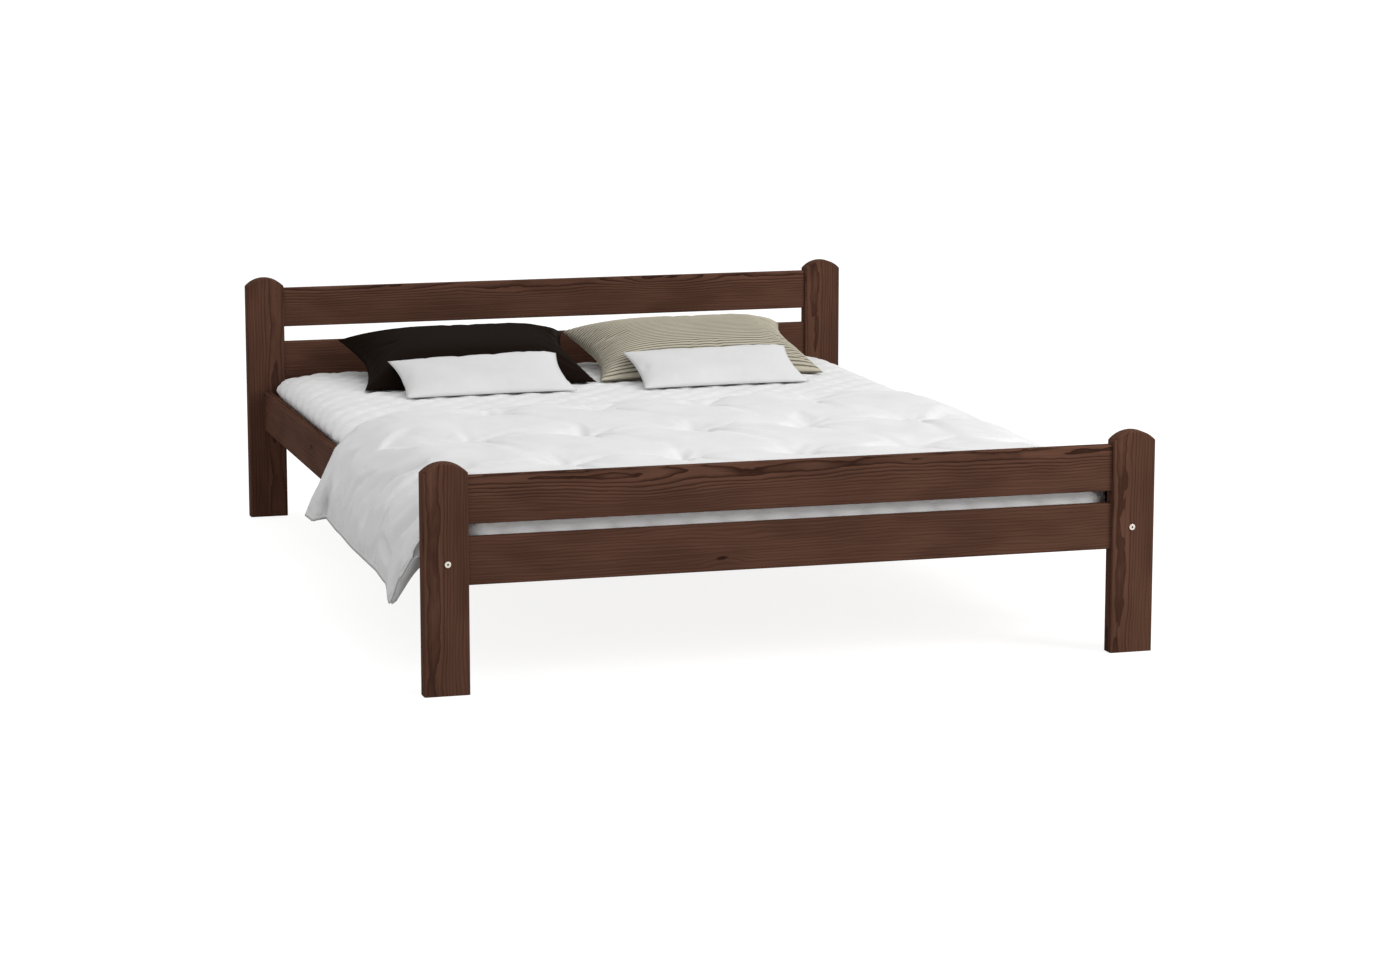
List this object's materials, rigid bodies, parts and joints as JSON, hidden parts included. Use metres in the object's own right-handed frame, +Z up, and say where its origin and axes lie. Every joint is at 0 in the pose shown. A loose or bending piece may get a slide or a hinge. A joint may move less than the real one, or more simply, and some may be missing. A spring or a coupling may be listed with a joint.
{
  "type": "slatted double bed with bedding",
  "caption": "Low double bed in dark stained pine with arched posts, open railed head and foot, slatted base, mattress, tufted quilt and pillows.",
  "frame": {"origin": "on the floor, under the middle of the bed", "axes": "+X to the right as seen from the foot end, +Y from the footboard to the headboard, +Z up"},
  "size_m": [1.6334, 2.085, 0.593],
  "materials": {
    "stained_pine": "satin",
    "bare_pine": "matte",
    "beech": "matte",
    "nickel_steel": "satin",
    "zinc_steel": "satin",
    "mattress_cloth": "matte",
    "foam": "matte",
    "quilt_cloth": "matte",
    "dark_satin": "satin",
    "corded_cloth": "matte",
    "white_satin": "satin"
  },
  "bodies": {
    "bedstead": {"head_post_left": "stained_pine", "head_post_right": "stained_pine", "foot_post_left": "stained_pine", "foot_post_right": "stained_pine", "headboard_top_rail": "stained_pine", "headboard_lower_rail": "stained_pine", "headboard_bottom_rail": "stained_pine", "footboard_top_rail": "stained_pine", "footboard_lower_rail": "stained_pine", "side_rail_left": "stained_pine", "side_rail_right": "stained_pine", "slat_ledger_left": "bare_pine", "slat_ledger_right": "bare_pine", "slat_01": "bare_pine", "slat_02": "bare_pine", "slat_03": "bare_pine", "slat_04": "bare_pine", "slat_05": "bare_pine", "slat_06": "bare_pine", "slat_07": "bare_pine", "slat_08": "bare_pine", "slat_09": "bare_pine", "slat_10": "bare_pine", "slat_11": "bare_pine", "slat_12": "bare_pine", "slat_13": "bare_pine", "slat_14": "bare_pine", "centre_beam": "bare_pine", "beam_hanger_foot": "zinc_steel", "beam_hanger_head": "zinc_steel", "headboard_dowels": "beech", "footboard_dowels": "beech", "side_rail_dowels": "beech", "side_rail_bolts": "nickel_steel", "side_rail_barrel_nuts": "zinc_steel", "ledger_screws": "zinc_steel", "slat_screws": "zinc_steel", "hanger_screws": "zinc_steel"},
    "mattress": {"mattress_cover": "mattress_cloth", "mattress_core": "foam"},
    "quilt": {"quilt": "quilt_cloth"},
    "dark_pillow": {"dark_pillow": "dark_satin"},
    "striped_pillow": {"striped_pillow": "corded_cloth"},
    "white_pillow_left": {"white_pillow_left": "white_satin"},
    "white_pillow_right": {"white_pillow_right": "white_satin"}
  },
  "joints": [
    {"name": "mattress_lift", "type": "slide", "parent": "bedstead", "child": "mattress", "axis": [0, 0, 1], "range_m": [0, 0.3]},
    {"name": "quilt_lift", "type": "slide", "parent": "mattress", "child": "quilt", "axis": [0, 0, 1], "range_m": [0, 0.3]},
    {"name": "dark_pillow_lift", "type": "slide", "parent": "mattress", "child": "dark_pillow", "axis": [0, 0, 1], "range_m": [0, 0.3]},
    {"name": "striped_pillow_lift", "type": "slide", "parent": "mattress", "child": "striped_pillow", "axis": [0, 0, 1], "range_m": [0, 0.3]},
    {"name": "white_pillow_left_lift", "type": "slide", "parent": "dark_pillow", "child": "white_pillow_left", "axis": [0, 0, 1], "range_m": [0, 0.3]},
    {"name": "white_pillow_right_lift", "type": "slide", "parent": "striped_pillow", "child": "white_pillow_right", "axis": [0, 0, 1], "range_m": [0, 0.3]}
  ]
}
